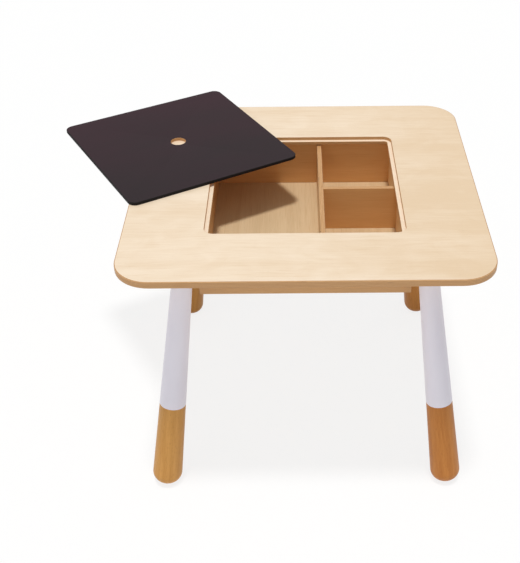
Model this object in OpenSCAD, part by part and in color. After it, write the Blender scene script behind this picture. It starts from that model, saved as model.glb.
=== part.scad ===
// Square children's table with a storage box under its top.
// A loose chalkboard lid normally drops into a seat over the box. Here it lies turned
// on the table top, over the back left corner, so the box stands open.
// Millimetres. +Z is up, +X is the table's right and +Y its back.
// The origin is on the floor, under the middle of the table top.

/* [Lid] */
// Side of the square lid
lid_size = 330; // [280:1:380]
// Thickness of the lid, which is also the depth of its seat in the top
lid_t = 6; // [5:0.5:8]
// Corner radius of the lid in plan
lid_corner_r = 15; // [8:1:40]
// Radius of the lid's eased edges
lid_edge_r = 1; // [0.5:0.1:2]
// Diameter of the finger hole in the middle of the lid
finger_d = 28; // [20:1:40]
// Gap all round between the lid and its seat
lid_gap = 1; // [0.5:0.1:2]
// Middle of the lid where it lies on the top, along X
lid_x = -235.5; // [-260:0.5:-200]
// Middle of the lid where it lies on the top, along Y
lid_y = 143; // [100:0.5:180]
// Turn of the lid where it lies on the top, in degrees
lid_turn = 30.4; // [0:0.1:45]

/* [Table top] */
// Height of the table top's upper face above the floor
table_h = 480; // [400:5:600]
// Width of the table top from the lid's seat to the outer edge
border_w = 134; // [115:1:180]
// Thickness of the table top
top_t = 12; // [11:0.5:18]
// Corner radius of the table top in plan
top_corner_r = 60; // [20:1:100]
// Radius of the table top's rounded edges
top_edge_r = 1.5; // [1:0.5:4]
// Width of the ledge that carries the lid
ledge_w = 7; // [5:0.5:15]
// Corner radius of the opening inside the ledge
opening_r = 6; // [3:0.5:12]

/* [Storage box] */
// Thickness of the box walls
wall_t = 12; // [10:0.5:15]
// Height of the box walls
wall_h = 102; // [80:1:150]
// Distance that the walls' inner faces stand back behind the edge of the lid's seat
wall_back = 0; // [0:0.1:2]
// Thickness of the box floor
floor_t = 6; // [4:0.5:8]
// Height of the box floor's underside above the walls' lower edges
floor_up = 9; // [6:0.5:15]
// Depth of the groove in the walls that holds the floor
groove_d = 6; // [4:0.5:7]
// Gap between the floor's edges and the bottom of that groove
floor_gap = 0.5; // [0.2:0.1:0.8]

/* [Dividers] */
// Thickness of both dividers
divider_t = 8; // [6:0.5:10]
// Middle of the long divider, along X
divider_x = 30; // [-40:1:60]
// Middle of the cross divider, along Y
cross_y = 3.5; // [-40:0.5:40]
// Distance that the dividers stop short of the table top's underside
divider_drop = 3; // [1:0.5:20]
// Depth of the housings that hold the ends of the dividers
housing_d = 3; // [2:0.5:4]
// Radius of the dividers' eased upper edges
divider_edge_r = 1; // [0.5:0.1:2]

/* [Legs] */
// Diameter of a leg at its upper end
leg_top_d = 33; // [30:0.5:36]
// Diameter of a leg at its foot, before the rounding
leg_foot_d = 54; // [44:0.5:60]
// Radius that rounds the end of a leg
foot_r = 21; // [10:0.5:21]
// Distance from the box wall's outer face to a leg's axis, under the table top
leg_out = 17; // [16:0.5:30]
// Distance that each leg spreads from the table top to the floor, along X and along Y
leg_spread = 61.5; // [40:0.5:80]
// Length of bare wood on a leg below the paint
bare_len = 173; // [100:1:250]
// Depth of the level flat on the underside of a foot
foot_flat = 0.5; // [0.3:0.1:1.5]

/* [Leg blocks] */
// Thickness of a leg block along the leg's axis
block_t = 30; // [26:0.5:40]
// Length of a leg block along the table's diagonal
block_len = 70; // [66:1:85]
// Width of a leg block across the diagonal
block_w = 76; // [70:1:90]
// Gap between a leg block and the corner of the box
block_gap = 1.5; // [0.5:0.1:3]
// Distance from a leg block's sides to its screws
screw_inset = 12; // [8:0.5:14]

/* [Leg bolts] */
// Diameter of the bolt that joins a leg to its block
bolt_d = 8; // [6:1:8]
// Length of the bolt inside the leg
bolt_in_leg = 38; // [30:1:50]
// Length of the bolt above the leg
bolt_in_block = 22; // [21:0.5:24]
// Outer diameter of the threaded insert
insert_d = 12; // [11:0.5:13]
// Depth of the bolt's hole past the end of the bolt
bolt_spare = 2.5; // [0.5:0.5:2.5]
// Length of the threaded insert
insert_len = 20; // [16:0.5:21]
// Diameter of the flange on the threaded insert
flange_d = 16; // [15:0.5:20]
// Thickness of the flange on the threaded insert
flange_t = 1.5; // [1:0.1:2]

/* [Screws, cleats and dowels] */
// Diameter of the leg block screws
block_screw_d = 4; // [3.5:0.5:4.5]
// Diameter of the cleat screws
cleat_screw_d = 3.5; // [3:0.5:4]
// Depth that screws enter the table top and the box walls
screw_bite = 8; // [6:0.5:9]
// Distance that the heads of the block screws lie inside the face
head_sink = 1; // [0.5:0.1:3]
// Side of the square cleats between the box and the table top
cleat_w = 16; // [14:0.5:20]
// Distance from the corners of the box to the ends of the cleats
cleat_end = 28; // [24:1:50]
// Distance between neighbouring screws along a cleat
cleat_pitch = 55; // [30:1:60]
// Diameter of the dowels in the corners of the box
dowel_d = 6; // [5:0.5:7]
// Length of the dowels
dowel_len = 24; // [20:1:30]
// Depth of the dowels in the front and back walls
dowel_in_face = 9; // [6:0.5:9.5]
// Number of dowels in each corner of the box
dowel_rows = 3; // [2:1:4]
// General clearance round pins, screws and panels in their holes and grooves
fit = 0.1; // [0.05:0.01:0.2]

/* [Hidden] */
$fn = 96;

// Turns about the vertical, anticlockwise from above, that reach the four sides from
// the front, and the four corners from the right
front_turn = 0;
right_turn = 90;
back_turn = 180;
left_turn = 270;
back_right_turn = 45;
back_left_turn = 135;
front_left_turn = 225;
front_right_turn = 315;
side_turns = [front_turn, right_turn, back_turn, left_turn];
corner_turns = [back_right_turn, back_left_turn, front_left_turn, front_right_turn];

// Finishes
MAPLE = [0.93, 0.86, 0.75];
BIRCH = [0.85, 0.71, 0.52];
BEECH = [0.76, 0.56, 0.33];
WHITE = [0.85, 0.84, 0.88];
CHALKBOARD = [0.24, 0.21, 0.22];
STEEL = [0.70, 0.71, 0.72];
BRASS = [0.78, 0.64, 0.33];

// A cut runs this far past the face that it opens.
over = 5;

// Table top
seat_size = lid_size + 2 * lid_gap;
opening_size = seat_size - 2 * ledge_w;
top_size = seat_size + 2 * border_w;
under_z = table_h - top_t;

// Storage box
box_in = seat_size + 2 * wall_back;
box_out = box_in + 2 * wall_t;
wall_z = under_z - wall_h;
floor_z = wall_z + floor_up;
floor_top = floor_z + floor_t;
divider_h = under_z - divider_drop - floor_top;

// Legs: the axis tilts outwards along the table's diagonal.
leg_u = (box_out / 2 + leg_out) * sqrt(2);
leg_tilt = atan(leg_spread * sqrt(2) / under_z);
foot_lift = foot_r * (1 - cos(leg_tilt)) + (leg_foot_d / 2 - foot_r) * sin(leg_tilt) - foot_flat;
leg_len = (under_z - foot_lift) / cos(leg_tilt) - block_t;
paint_len = leg_len - bare_len;
taper = (leg_foot_d - leg_top_d) / 2 / leg_len;

// Leg blocks: u runs along the diagonal, away from the middle.
block_u = box_out / 2 * sqrt(2) + block_gap;
screw_u_in = block_u + screw_inset;
screw_u_out = block_u + block_len - screw_inset;
screw_v = block_w / 2 - screw_inset;
face_u = leg_u + block_t * sin(leg_tilt);
thin_t = block_t * cos(leg_tilt) - (screw_u_out - face_u) * tan(leg_tilt);
block_screw_head = thin_t - head_sink;
block_screw_len = block_screw_head + screw_bite;

// Cleats and dowels
cleat_len = box_out - 2 * cleat_end;
cleat_screw_len = cleat_w + screw_bite;
dowel_pitch = (under_z - floor_top) / dowel_rows;

// Proportions of a countersunk wood screw, from its shank
head_d_per_d = 2;
tip_per_d = 1.2;
recess_w_per_d = 0.3;
recess_len_per_d = 1.1;
recess_depth_per_d = 0.45;

module turned(turn) {
    rotate([0, 0, turn]) children();
}

// Frame of one leg: the origin is on the leg's axis at the underside of the top,
// and the axis runs down along -Z.
module on_leg(turn) {
    turned(turn)
        translate([leg_u, 0, under_z])
            rotate([0, -leg_tilt, 0])
                children();
}

module rounded_square(size, r) {
    square([size - 2 * r, size], center = true);
    square([size, size - 2 * r], center = true);
    for (x = [-1, 1], y = [-1, 1])
        translate([x, y] * (size / 2 - r)) circle(r);
}

// Section through a board's edge: x runs out to the edge, y up through the thickness.
module edge_section(reach, thick, edge_r) {
    square([reach - edge_r, thick]);
    translate([0, edge_r]) square([reach, thick - 2 * edge_r]);
    for (y = [edge_r, thick - edge_r])
        translate([reach - edge_r, y]) circle(edge_r);
}

// Square board with round corners in plan and rounded edges all the way round
module eased_board(size, thick, corner_r, edge_r) {
    flat = size - 2 * corner_r;
    translate([-flat / 2, -flat / 2, 0]) cube([flat, flat, thick]);
    for (turn = side_turns)
        turned(turn)
            translate([flat / 2, flat / 2, 0]) {
                rotate([90, 0, 0])
                    linear_extrude(flat) edge_section(corner_r, thick, edge_r);
                rotate_extrude(angle = 90) edge_section(corner_r, thick, edge_r);
            }
}

// Countersunk wood screw: the head's flat face is at the origin, and it points along +Z.
module wood_screw(d, length) {
    head_r = d * head_d_per_d / 2;
    tip = d * tip_per_d;
    difference() {
        union() {
            cylinder(r1 = head_r, r2 = d / 2, h = head_r - d / 2);
            cylinder(d = d, h = length - tip);
            translate([0, 0, length - tip]) cylinder(r1 = d / 2, r2 = d / 10, h = tip);
        }
        for (turn = [front_turn, right_turn])
            turned(turn)
                translate([0, 0, d * recess_depth_per_d / 2 - over / 2])
                    cube([d * recess_len_per_d, d * recess_w_per_d, d * recess_depth_per_d + over],
                        center = true);
    }
}

// Hole for that screw, with its countersink and a way in for the head
module screw_hole(d, length) {
    head_r = d * head_d_per_d / 2 + fit;
    translate([0, 0, -block_t]) cylinder(r = head_r, h = block_t);
    cylinder(r1 = head_r, r2 = d / 2 + fit, h = head_r - d / 2 - fit);
    cylinder(r = d / 2 + fit, h = length + fit);
}

module at_block_screws(turn) {
    turned(turn)
        for (u = [screw_u_in, screw_u_out], v = [-screw_v, screw_v])
            translate([u, v, under_z - block_screw_head]) children();
}

module at_cleat_top_screws(turn) {
    turned(turn)
        for (step = [-2, 0, 2])
            translate([step * cleat_pitch, -box_out / 2 - cleat_w / 2, under_z - cleat_w]) children();
}

module at_cleat_wall_screws(turn) {
    turned(turn)
        for (step = [-1, 1])
            translate([step * cleat_pitch, -box_out / 2 - cleat_w, under_z - cleat_w / 2])
                rotate([-90, 0, 0]) children();
}

module at_dowels() {
    for (turn = [front_turn, back_turn], end = [-1, 1], row = [0:dowel_rows - 1])
        turned(turn)
            translate([
                end * (box_in + wall_t) / 2,
                -box_in / 2 - dowel_in_face,
                under_z - (row + 0.5) * dowel_pitch
            ])
                rotate([-90, 0, 0]) children();
}

module tabletop() {
    color(MAPLE)
        difference() {
            translate([0, 0, under_z]) eased_board(top_size, top_t, top_corner_r, top_edge_r);
            translate([0, 0, table_h - lid_t])
                linear_extrude(lid_t + over) rounded_square(seat_size, lid_corner_r + lid_gap);
            translate([0, 0, under_z - over])
                linear_extrude(top_t + over) rounded_square(opening_size, opening_r);
            for (turn = corner_turns)
                at_block_screws(turn) screw_hole(block_screw_d, block_screw_len);
            for (turn = side_turns)
                at_cleat_top_screws(turn) screw_hole(cleat_screw_d, cleat_screw_len);
        }
}

module lid() {
    color(CHALKBOARD)
        translate([lid_x, lid_y, table_h])
            rotate([0, 0, lid_turn])
                difference() {
                    eased_board(lid_size, lid_t, lid_corner_r, lid_edge_r);
                    translate([0, 0, -over]) cylinder(d = finger_d, h = lid_t + 2 * over);
                }
}

// What is cut from every wall of the box: the floor's groove, the dividers' housings
// and the dowel holes
module wall_cuts() {
    groove_size = box_in + 2 * groove_d;
    translate([-groove_size / 2, -groove_size / 2, floor_z])
        cube([groove_size, groove_size, floor_t + fit]);
    translate([divider_x - divider_t / 2 - fit, -box_in / 2 - housing_d, floor_top])
        cube([divider_t + 2 * fit, box_in + 2 * housing_d, wall_h]);
    translate([divider_x, cross_y - divider_t / 2 - fit, floor_top])
        cube([box_in / 2 + housing_d - divider_x, divider_t + 2 * fit, wall_h]);
    at_dowels()
        translate([0, 0, -fit]) cylinder(d = dowel_d + 2 * fit, h = dowel_len + 2 * fit);
}

// The front and back walls run past the ends of the side walls.
module end_wall(turn) {
    color(BIRCH)
        difference() {
            turned(turn)
                translate([-box_out / 2, -box_out / 2, wall_z]) cube([box_out, wall_t, wall_h]);
            wall_cuts();
            at_cleat_wall_screws(turn) screw_hole(cleat_screw_d, cleat_screw_len);
        }
}

module side_wall(turn) {
    color(BIRCH)
        difference() {
            turned(turn)
                translate([-box_in / 2, -box_out / 2, wall_z]) cube([box_in, wall_t, wall_h]);
            wall_cuts();
            at_cleat_wall_screws(turn) screw_hole(cleat_screw_d, cleat_screw_len);
        }
}

module box_floor() {
    floor_size = box_in + 2 * (groove_d - floor_gap);
    color(BIRCH)
        translate([-floor_size / 2, -floor_size / 2, floor_z])
            cube([floor_size, floor_size, floor_t]);
}

// Section of a divider: x across its thickness, y up
module divider_section() {
    translate([-divider_t / 2, 0]) square([divider_t, divider_h - divider_edge_r]);
    translate([divider_edge_r - divider_t / 2, 0])
        square([divider_t - 2 * divider_edge_r, divider_h]);
    for (x = [-1, 1])
        translate([x * (divider_t / 2 - divider_edge_r), divider_h - divider_edge_r])
            circle(divider_edge_r);
}

module long_divider() {
    length = box_in + 2 * housing_d - 2 * fit;
    color(BIRCH)
        difference() {
            translate([divider_x, length / 2, floor_top])
                rotate([90, 0, 0]) linear_extrude(length) divider_section();
            translate([
                divider_x + divider_t / 2 - housing_d,
                cross_y - divider_t / 2 - fit,
                floor_top - over
            ])
                cube([housing_d + over, divider_t + 2 * fit, divider_h + 2 * over]);
        }
}

module cross_divider() {
    start = divider_x + divider_t / 2 - housing_d + fit;
    length = box_in / 2 + housing_d - fit - start;
    color(BIRCH)
        translate([start, cross_y, floor_top])
            rotate([90, 0, 90]) linear_extrude(length) divider_section();
}

// Radius of a leg at a distance below its upper end
function leg_r(s) = leg_top_d / 2 + taper * s;

// Half section of the painted part of a leg: y runs up the leg's axis
module painted_section() {
    polygon([
        [0, 0],
        [leg_r(0), 0],
        [leg_r(paint_len), -paint_len],
        [0, -paint_len]
    ]);
}

// Half section of the bare part, with its round end
module bare_section() {
    slant = sqrt(1 + taper * taper);
    round_z = foot_r - leg_len;
    round_x = leg_r(-round_z) - foot_r * slant;
    polygon([
        [0, -paint_len],
        [leg_r(paint_len), -paint_len],
        [round_x + foot_r / slant, round_z + foot_r * taper / slant],
        [round_x, round_z],
        [round_x, -leg_len],
        [0, -leg_len]
    ]);
    intersection() {
        translate([round_x, round_z]) circle(foot_r);
        translate([0, -leg_len]) square([leg_foot_d, leg_len]);
    }
}

module leg(turn) {
    difference() {
        on_leg(turn)
            translate([0, 0, -block_t])
                difference() {
                    union() {
                        color(WHITE) rotate_extrude() painted_section();
                        color(BEECH) rotate_extrude() bare_section();
                    }
                    translate([0, 0, -bolt_in_leg - fit])
                        cylinder(d = bolt_d + 2 * fit, h = bolt_in_leg + over);
                }
        translate([-top_size, -top_size, -top_size]) cube([2 * top_size, 2 * top_size, top_size]);
    }
}

module leg_block(turn) {
    color(BIRCH)
        difference() {
            turned(turn)
                translate([block_u, -block_w / 2, under_z - 2 * block_t])
                    cube([block_len, block_w, 2 * block_t]);
            on_leg(turn) {
                translate([-2 * block_len, -block_w, -4 * block_t])
                    cube([4 * block_len, 2 * block_w, 3 * block_t]);
                translate([0, 0, -block_t]) {
                    cylinder(d = flange_d + 2 * fit, h = flange_t + fit);
                    cylinder(d = insert_d + 2 * fit, h = insert_len + fit);
                    cylinder(d = bolt_d + 4 * fit, h = bolt_in_block + bolt_spare);
                }
            }
            at_block_screws(turn) screw_hole(block_screw_d, block_screw_len);
        }
}

module cleat(turn) {
    color(BIRCH)
        difference() {
            turned(turn)
                translate([-cleat_len / 2, -box_out / 2 - cleat_w, under_z - cleat_w])
                    cube([cleat_len, cleat_w, cleat_w]);
            at_cleat_top_screws(turn) screw_hole(cleat_screw_d, cleat_screw_len);
            at_cleat_wall_screws(turn) screw_hole(cleat_screw_d, cleat_screw_len);
        }
}

module leg_bolts() {
    color(STEEL)
        for (turn = corner_turns)
            on_leg(turn)
                translate([0, 0, -block_t - bolt_in_leg])
                    cylinder(d = bolt_d, h = bolt_in_leg + bolt_in_block);
}

module leg_inserts() {
    color(BRASS)
        for (turn = corner_turns)
            on_leg(turn)
                translate([0, 0, -block_t])
                    difference() {
                        union() {
                            cylinder(d = flange_d, h = flange_t);
                            cylinder(d = insert_d, h = insert_len);
                        }
                        translate([0, 0, -over])
                            cylinder(d = bolt_d + 2 * fit, h = insert_len + 2 * over);
                    }
}

module leg_block_screws() {
    color(STEEL)
        for (turn = corner_turns)
            at_block_screws(turn) wood_screw(block_screw_d, block_screw_len);
}

module cleat_screws() {
    color(STEEL)
        for (turn = side_turns) {
            at_cleat_top_screws(turn) wood_screw(cleat_screw_d, cleat_screw_len);
            at_cleat_wall_screws(turn) wood_screw(cleat_screw_d, cleat_screw_len);
        }
}

module box_dowels() {
    color(BEECH)
        at_dowels() cylinder(d = dowel_d, h = dowel_len);
}

tabletop();
lid();
end_wall(front_turn);  // box_front
end_wall(back_turn);  // box_back
side_wall(left_turn);  // box_left
side_wall(right_turn);  // box_right
box_floor();
long_divider();
cross_divider();
leg(front_left_turn);  // leg_front_left
leg(front_right_turn);  // leg_front_right
leg(back_left_turn);  // leg_back_left
leg(back_right_turn);  // leg_back_right
leg_block(front_left_turn);  // leg_block_front_left
leg_block(front_right_turn);  // leg_block_front_right
leg_block(back_left_turn);  // leg_block_back_left
leg_block(back_right_turn);  // leg_block_back_right
cleat(front_turn);  // cleat_front
cleat(back_turn);  // cleat_back
cleat(left_turn);  // cleat_left
cleat(right_turn);  // cleat_right
leg_bolts();
leg_inserts();
leg_block_screws();
cleat_screws();
box_dowels();
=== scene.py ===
# %% [markdown]
# # A square children's table with a storage box under its top
#
# The table is a maple-faced plywood top on four splayed, turned legs. A shallow birch
# box hangs under an opening in the top, and a thin chalkboard lid lies turned over one
# corner. The construction comes packed from CAD, in metres. This lesson dresses it: it
# eases the boards, turns the legs, drives the screws and gives every surface its finish.

# %% The frame
import math

import bmesh
import bpy
import numpy as np
from mathutils import Matrix, Vector


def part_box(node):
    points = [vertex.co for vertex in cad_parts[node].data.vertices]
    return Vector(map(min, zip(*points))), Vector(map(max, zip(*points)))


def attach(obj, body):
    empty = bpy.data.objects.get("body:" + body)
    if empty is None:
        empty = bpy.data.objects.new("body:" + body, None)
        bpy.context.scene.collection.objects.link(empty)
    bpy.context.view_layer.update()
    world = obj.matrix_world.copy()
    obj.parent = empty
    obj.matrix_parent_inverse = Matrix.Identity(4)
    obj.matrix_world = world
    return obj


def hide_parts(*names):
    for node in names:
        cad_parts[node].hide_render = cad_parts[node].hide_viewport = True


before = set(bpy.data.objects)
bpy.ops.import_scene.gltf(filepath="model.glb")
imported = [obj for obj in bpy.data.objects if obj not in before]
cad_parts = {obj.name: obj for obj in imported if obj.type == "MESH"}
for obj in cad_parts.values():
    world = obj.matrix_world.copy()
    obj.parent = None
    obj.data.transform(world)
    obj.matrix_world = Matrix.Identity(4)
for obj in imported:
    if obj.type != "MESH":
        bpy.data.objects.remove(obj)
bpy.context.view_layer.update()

# %% [markdown]
# ## The camera
#
# A product photo is a measured drawing in disguise: once the lens and the place of the
# camera are known, every straight edge falls where it should. Blender can take the
# angles as a chain of turns, which is easier to read than a tracked target: first the
# heading, then the tilt down from the horizon, then the small roll about the view.

# %% The camera
PHOTO_W = 520
PHOTO_H = 563
FOCAL_PX = 964.80
AXIS_X_PX = 299.66
SENSOR_MM = 36.0
FARTHEST = 60.0
CAMERA_AT = Vector((-0.01159, -1.48126, 1.33994))
HEADING = math.radians(-0.088)
TILT_DOWN = math.radians(36.06)
ROLL = math.radians(-0.42)


def make_camera():
    """The camera, with the lens axis a little to the right of the picture's middle."""
    data = bpy.data.cameras.new("camera")
    data.sensor_width = SENSOR_MM
    data.lens = FOCAL_PX / PHOTO_H * SENSOR_MM
    data.shift_x = (PHOTO_W / 2 - AXIS_X_PX) / PHOTO_H
    data.clip_end = FARTHEST
    camera = bpy.data.objects.new("camera", data)
    bpy.context.scene.collection.objects.link(camera)
    camera.matrix_world = (
        Matrix.Translation(CAMERA_AT)
        @ Matrix.Rotation(HEADING, 4, "Z")
        @ Matrix.Rotation(math.radians(90) - TILT_DOWN, 4, "X")
        @ Matrix.Rotation(ROLL, 4, "Z")
    )
    return camera


bpy.context.scene.camera = make_camera()
print("Lens", round(bpy.context.scene.camera.data.lens, 2), "mm")

# %% [markdown]
# ## Shader helpers
#
# Node trees written out in full hide the idea behind each finish. A handful of small
# helpers keeps them short: one adds a node and fills its sockets, some add the noise,
# the ranges, the sums and the colour blends that every finish is made of, and the last
# one fills the shader.

# %% Shader helpers
MIX_FACTOR = 0
MIX_COLOUR_A = 6
MIX_COLOUR_B = 7
MIX_COLOUR_OUT = 2
# The screen's curve: a short straight part, and then a power.
SCREEN_TOP = 255
SCREEN_KNEE = 0.04045
SCREEN_SLOPE = 12.92
SCREEN_OFFSET = 0.055
SCREEN_POWER = 2.4


def colour(red, green, blue):
    """A colour as it looks on screen, 0 to 255, turned into the shader's linear values."""
    parts = []
    for value in (red, green, blue):
        share = value / SCREEN_TOP
        if share <= SCREEN_KNEE:
            parts.append(share / SCREEN_SLOPE)
        else:
            parts.append(((share + SCREEN_OFFSET) / (1 + SCREEN_OFFSET)) ** SCREEN_POWER)
    return (*parts, 1.0)


def fill(tree, socket, value):
    """Links a socket to another, or sets its value."""
    if isinstance(value, bpy.types.NodeSocket):
        tree.links.new(value, socket)
    else:
        socket.default_value = value


def put(tree, kind, inputs, **options):
    """Adds a node with its options and its inputs."""
    node = tree.nodes.new(kind)
    for option, value in options.items():
        setattr(node, option, value)
    for name, value in inputs.items():
        fill(tree, node.inputs[name], value)
    return node


def noise(tree, vector, stretch, detail=2.0, distortion=0.0):
    """Noise from 0 to 1 with so many waves to the metre along each axis of the vector."""
    scaled = put(tree, "ShaderNodeVectorMath", {0: vector, 1: stretch}, operation="MULTIPLY")
    texture = put(tree, "ShaderNodeTexNoise", {
        "Vector": scaled.outputs[0],
        "Scale": 1.0,
        "Detail": detail,
        "Distortion": distortion,
    })
    return texture.outputs["Fac"]


def remap(tree, value, low, high, to_low=0.0, to_high=1.0):
    """Stretches a value's range onto another, and clamps it there."""
    node = put(tree, "ShaderNodeMapRange", {
        "Value": value,
        "From Min": low,
        "From Max": high,
        "To Min": to_low,
        "To Max": to_high,
    })
    return node.outputs["Result"]


def reckon(tree, operation, first, second=0.0):
    """One step of arithmetic on two values."""
    return put(tree, "ShaderNodeMath", {0: first, 1: second}, operation=operation).outputs[0]


def add_up(tree, first, *others):
    """The sum of some values."""
    total = first
    for value in others:
        total = reckon(tree, "ADD", total, value)
    return total


def blend(tree, factor, first, second):
    """A colour between two others."""
    node = put(tree, "ShaderNodeMix", {
        MIX_FACTOR: factor,
        MIX_COLOUR_A: first,
        MIX_COLOUR_B: second,
    }, data_type="RGBA")
    return node.outputs[MIX_COLOUR_OUT]


def new_material(name):
    """A material, its node tree and its Principled shader."""
    material = bpy.data.materials.new(name)
    material.use_nodes = True
    tree = material.node_tree
    return material, tree, tree.nodes["Principled BSDF"]


def dress(tree, shader, base, dull, rough, height, depth, specular=0.5):
    """Fills a shader: its colour, a roughness that follows dull between two ends, and a
    relief that follows height, so many metres deep."""
    bump = put(tree, "ShaderNodeBump", {"Height": height, "Distance": depth})
    fill(tree, shader.inputs["Base Color"], base)
    fill(tree, shader.inputs["Roughness"], remap(tree, dull, 0.0, 1.0, *rough))
    fill(tree, shader.inputs["Specular IOR Level"], specular)
    fill(tree, shader.inputs["Normal"], bump.outputs["Normal"])


print("Screen grey 188 is linear", round(colour(188, 188, 188)[0], 3))

# %% [markdown]
# ## The studio
#
# The table stands in a white studio under one broad overhead light, so tops are bright,
# uprights are a quarter to a third darker and the lid's shadow has a soft edge. A sun
# lamp with a wide disc gives that edge everywhere alike. A much wider and weaker one,
# low at the left front, models the legs, and the world fills the shade. Together they
# light a level face at just about 1, so a colour renders the way it is written.
# The floor looks almost white to the camera, yet it keeps a part of the table's shadow.

# %% The studio
SUN_LEVEL = 0.63
SUN_DISC = math.radians(7)
SUN_FROM_FRONT = math.radians(6.2)
SUN_FROM_LEFT = math.radians(1.4)
FILL_LEVEL = 0.09
FILL_DISC = math.radians(60)
FILL_HEIGHT = math.radians(20)
FILL_FROM_LEFT = math.radians(55)
SKY_LEVEL = 0.37
WHITE = (1, 1, 1, 1)
FLOOR_SIZE = 24.0
FLOOR_DROP = 0.0001
FLOOR_TONE = colour(250, 250, 249)
FLOOR_SHADE_SEEN = 0.18


def make_lamp(name, level, disc, turns):
    """A lamp far away that gives a level to faces square to it, from a disc of some width."""
    data = bpy.data.lights.new(name, "SUN")
    data.energy = level * math.pi
    data.angle = disc
    lamp = bpy.data.objects.new(name, data)
    bpy.context.scene.collection.objects.link(lamp)
    lamp.rotation_euler = turns


def seen_directly(tree):
    """1 for the camera's rays and those that metal sends on, and 0 for the rest."""
    path = tree.nodes.new("ShaderNodeLightPath").outputs
    mirrored = reckon(tree, "MAXIMUM", path["Is Glossy Ray"], path["Is Transmission Ray"])
    return reckon(tree, "MAXIMUM", path["Is Camera Ray"], mirrored)


def make_sky():
    """A plain white surrounding that lights the object less than it shows."""
    world = bpy.data.worlds.new("studio")
    world.use_nodes = True
    tree = world.node_tree
    tree.nodes.clear()
    level = remap(tree, seen_directly(tree), 0.0, 1.0, SKY_LEVEL, 1.0)
    background = put(tree, "ShaderNodeBackground", {"Color": WHITE, "Strength": level})
    put(tree, "ShaderNodeOutputWorld", {"Surface": background.outputs[0]})
    bpy.context.scene.world = world


def make_floor():
    """The studio floor: pale for the light it gives back, and near white to the camera."""
    half = FLOOR_SIZE / 2
    corners = [
        (x * half, y * half, -FLOOR_DROP) for x, y in ((-1, -1), (1, -1), (1, 1), (-1, 1))
    ]
    mesh = bpy.data.meshes.new("floor")
    mesh.from_pydata(corners, [], [(0, 1, 2, 3)])
    material, tree, shader = new_material("studio_floor")
    tree.nodes.remove(shader)
    shaded = put(tree, "ShaderNodeBsdfDiffuse", {"Color": FLOOR_TONE})
    glow = put(tree, "ShaderNodeEmission", {"Color": WHITE, "Strength": 1.0})
    share = remap(tree, seen_directly(tree), 0.0, 1.0, 0.0, 1 - FLOOR_SHADE_SEEN)
    mixed = put(tree, "ShaderNodeMixShader", {0: share, 1: shaded.outputs[0], 2: glow.outputs[0]})
    fill(tree, tree.nodes["Material Output"].inputs["Surface"], mixed.outputs[0])
    mesh.materials.append(material)
    floor = bpy.data.objects.new("floor", mesh)
    bpy.context.scene.collection.objects.link(floor)


make_lamp("overhead_light", SUN_LEVEL, SUN_DISC, (SUN_FROM_FRONT, -SUN_FROM_LEFT, 0))
make_lamp("fill_light", FILL_LEVEL, FILL_DISC, (math.radians(90) - FILL_HEIGHT, 0, -FILL_FROM_LEFT))
make_sky()
make_floor()
bpy.context.scene.view_settings.view_transform = "Standard"
LEVEL_LIGHT = SUN_LEVEL * math.cos(SUN_FROM_FRONT) + FILL_LEVEL * math.sin(FILL_HEIGHT) + SKY_LEVEL
print("A level face receives", round(LEVEL_LIGHT, 3))

# %% [markdown]
# ## Wood faces
#
# Sliced veneer shows three scales at once: broad soft bands, fine streaks that run with
# the grain, and tiny pores. A photo texture would repeat and could not turn with each
# board. Noise stretched along the grain can, so every wooden piece carries an attribute
# named grain: its place in the board, with x along the fibres and z through the thickness.

# %% Wood faces
GRAIN = "grain"
# Waves to the metre along, across and through the grain.
SWAY_WAVES = (2.2, 5.0, 5.0)
CURLS = (14.0, 24.0, 24.0)
THREADS = (26.0, 780.0, 780.0)
CLOUDS = (3.0, 9.0, 9.0)
STROKES = (14.0, 520.0, 520.0)
PORES = (130.0, 2400.0, 2400.0)
BAND_STRETCH = 18
# How far each layer goes from the pale colour towards the deep one, or to the pores' tone.
BAND_SHARE = 0.42
THREAD_SHARE = 0.26
CLOUD_SHARE = 0.32
STROKE_SHARE = 0.45
PORE_SHARE = 0.16
PORE_TONE = colour(120, 80, 45)
THREAD_RELIEF = 0.3
# The stretch along a board, in metres, over which it deepens.
FADE_FROM = 0.02
FADE_TO = 0.30


def grain_vector(tree):
    """The place in the board, in metres along, across and through the grain."""
    return put(tree, "ShaderNodeAttribute", {}, attribute_name=GRAIN).outputs["Vector"]


def wavy(tree, vector, sway):
    """The same place with its grain swaying gently from side to side."""
    drift = noise(tree, vector, SWAY_WAVES, detail=1.0)
    offset = put(tree, "ShaderNodeCombineXYZ", {"Y": remap(tree, drift, 0.0, 1.0, -sway, sway)})
    return put(
        tree, "ShaderNodeVectorMath", {0: vector, 1: offset.outputs[0]}, operation="ADD"
    ).outputs[0]


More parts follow.
